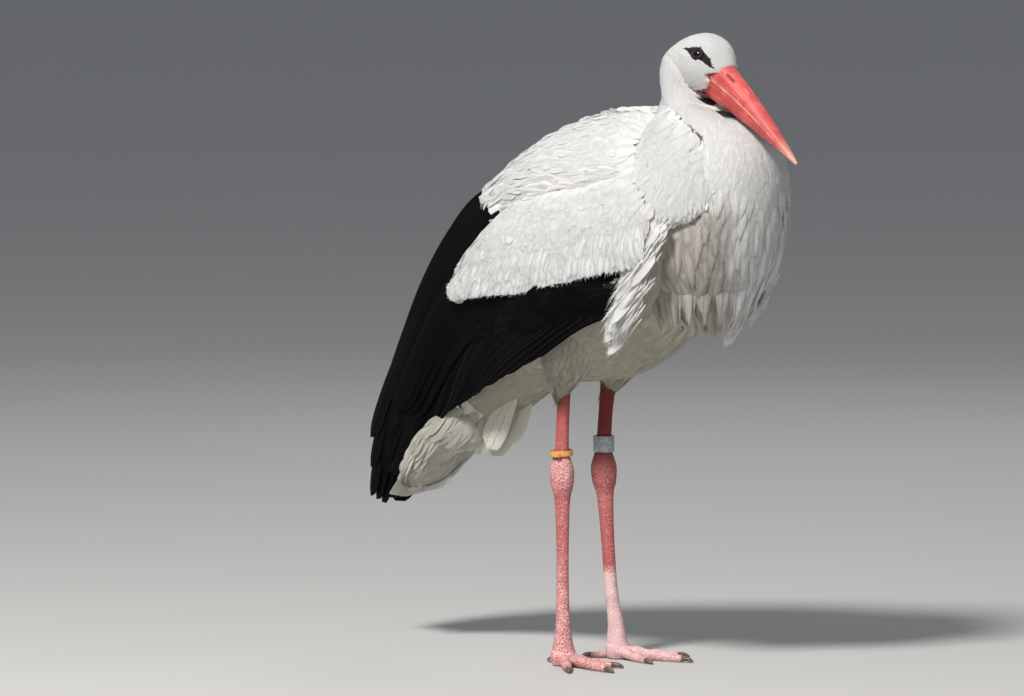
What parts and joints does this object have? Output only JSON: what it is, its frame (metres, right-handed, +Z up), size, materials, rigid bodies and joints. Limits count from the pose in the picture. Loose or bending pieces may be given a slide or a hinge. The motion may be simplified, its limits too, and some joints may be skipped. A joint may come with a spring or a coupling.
{
  "type": "standing white stork",
  "caption": "Life-size white stork standing at rest on both feet, neck drawn in, long bill pointing down over the breast, wings folded, a ring above each ankle.",
  "frame": {"origin": "on the floor, midway between the feet and under the middle of the bird", "axes": "+X the way the bird faces, +Y its left, +Z up"},
  "size_m": [0.5944, 0.2294, 0.6422],
  "materials": {
    "plumage_white": "matte",
    "plumage_black": "satin",
    "bill_horn": "satin",
    "leg_skin": "matte",
    "claw_horn": "satin",
    "eye": "gloss",
    "ring_metal": "satin",
    "ring_yellow": "satin"
  },
  "bodies": {
    "root": {"trunk": "plumage_white", "neck": "plumage_white", "tail": "plumage_white", "head": "plumage_white", "bill_upper": "bill_horn", "bill_lower": "bill_horn", "eye_right": "eye", "scapulars_right": "plumage_white", "wing_coverts_right": "plumage_white", "wing_flight_right": "plumage_black", "thigh_right": "plumage_white", "tibia_right": "leg_skin", "tarsus_right": "leg_skin", "foot_right": "leg_skin", "claw_inner_right": "claw_horn", "claw_middle_right": "claw_horn", "claw_outer_right": "claw_horn", "claw_hind_right": "claw_horn", "eye_left": "eye", "scapulars_left": "plumage_white", "wing_coverts_left": "plumage_white", "wing_flight_left": "plumage_black", "thigh_left": "plumage_white", "tibia_left": "leg_skin", "tarsus_left": "leg_skin", "foot_left": "leg_skin", "claw_inner_left": "claw_horn", "claw_middle_left": "claw_horn", "claw_outer_left": "claw_horn", "claw_hind_left": "claw_horn", "ring_right": "ring_yellow", "ring_left": "ring_metal"}
  },
  "joints": []
}
